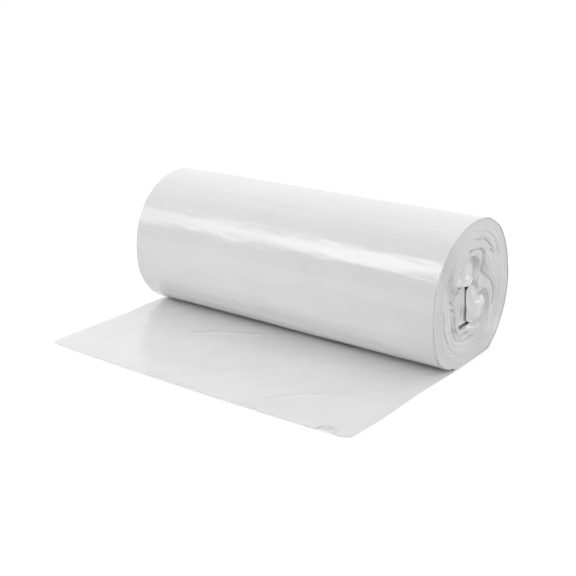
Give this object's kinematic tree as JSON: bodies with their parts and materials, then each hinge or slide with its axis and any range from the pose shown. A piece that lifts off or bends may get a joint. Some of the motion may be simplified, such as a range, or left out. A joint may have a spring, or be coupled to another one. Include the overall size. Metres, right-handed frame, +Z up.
{
  "type": "bin bag roll",
  "caption": "Coreless roll of white film bin bags on a small flat spot, its middle turns collapsed around hollows, with the first bag drawn out flat to a torn perforated edge.",
  "frame": {"origin": "on the floor under the roll's axis, halfway along it", "axes": "X along the roll, +Y towards its back, +Z up; the first bag is drawn out towards -Y"},
  "size_m": [0.3024, 0.2406, 0.115],
  "materials": {
    "white_film": "satin"
  },
  "bodies": {
    "root": {"bag_roll": "white_film"}
  },
  "joints": []
}
